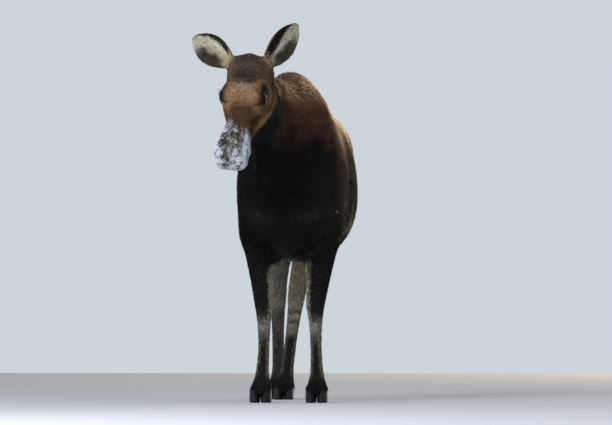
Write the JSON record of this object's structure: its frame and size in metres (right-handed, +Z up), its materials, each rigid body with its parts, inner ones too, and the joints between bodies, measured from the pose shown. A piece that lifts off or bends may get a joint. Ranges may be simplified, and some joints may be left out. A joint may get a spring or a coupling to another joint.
{
  "type": "moose",
  "caption": "Life-size still model of a cow moose in winter coat, standing on four cloven hooves with her head turned slightly to her right.",
  "frame": {"origin": "on the floor, under the middle of the animal's bounding box", "axes": "+Z up, she faces -Y, +X is her left side"},
  "size_m": [0.721, 2.1694, 1.8482],
  "materials": {
    "coat": "matte fur over hide, near black on the chest, reddish brown on the mane and back, grey-tan inside the legs, frosted on the muzzle",
    "eye": "wet, glossy, near black brown",
    "hoof_horn": "satin dark horn, a little worn at the edges"
  },
  "bodies": {
    "root": {"trunk": "coat", "neck": "coat", "head": "coat", "tail": "coat", "bell": "coat", "ear_left": "coat", "ear_right": "coat", "leg_fore_left": "coat", "leg_fore_right": "coat", "leg_hind_left": "coat", "leg_hind_right": "coat", "eye_left": "eye", "eye_right": "eye", "hoof_fore_left_left": "hoof_horn", "dewclaw_fore_left_left": "hoof_horn", "hoof_fore_left_right": "hoof_horn", "dewclaw_fore_left_right": "hoof_horn", "hoof_fore_right_left": "hoof_horn", "dewclaw_fore_right_left": "hoof_horn", "hoof_fore_right_right": "hoof_horn", "dewclaw_fore_right_right": "hoof_horn", "hoof_hind_left_left": "hoof_horn", "dewclaw_hind_left_left": "hoof_horn", "hoof_hind_left_right": "hoof_horn", "dewclaw_hind_left_right": "hoof_horn", "hoof_hind_right_left": "hoof_horn", "dewclaw_hind_right_left": "hoof_horn", "hoof_hind_right_right": "hoof_horn", "dewclaw_hind_right_right": "hoof_horn"}
  },
  "joints": []
}
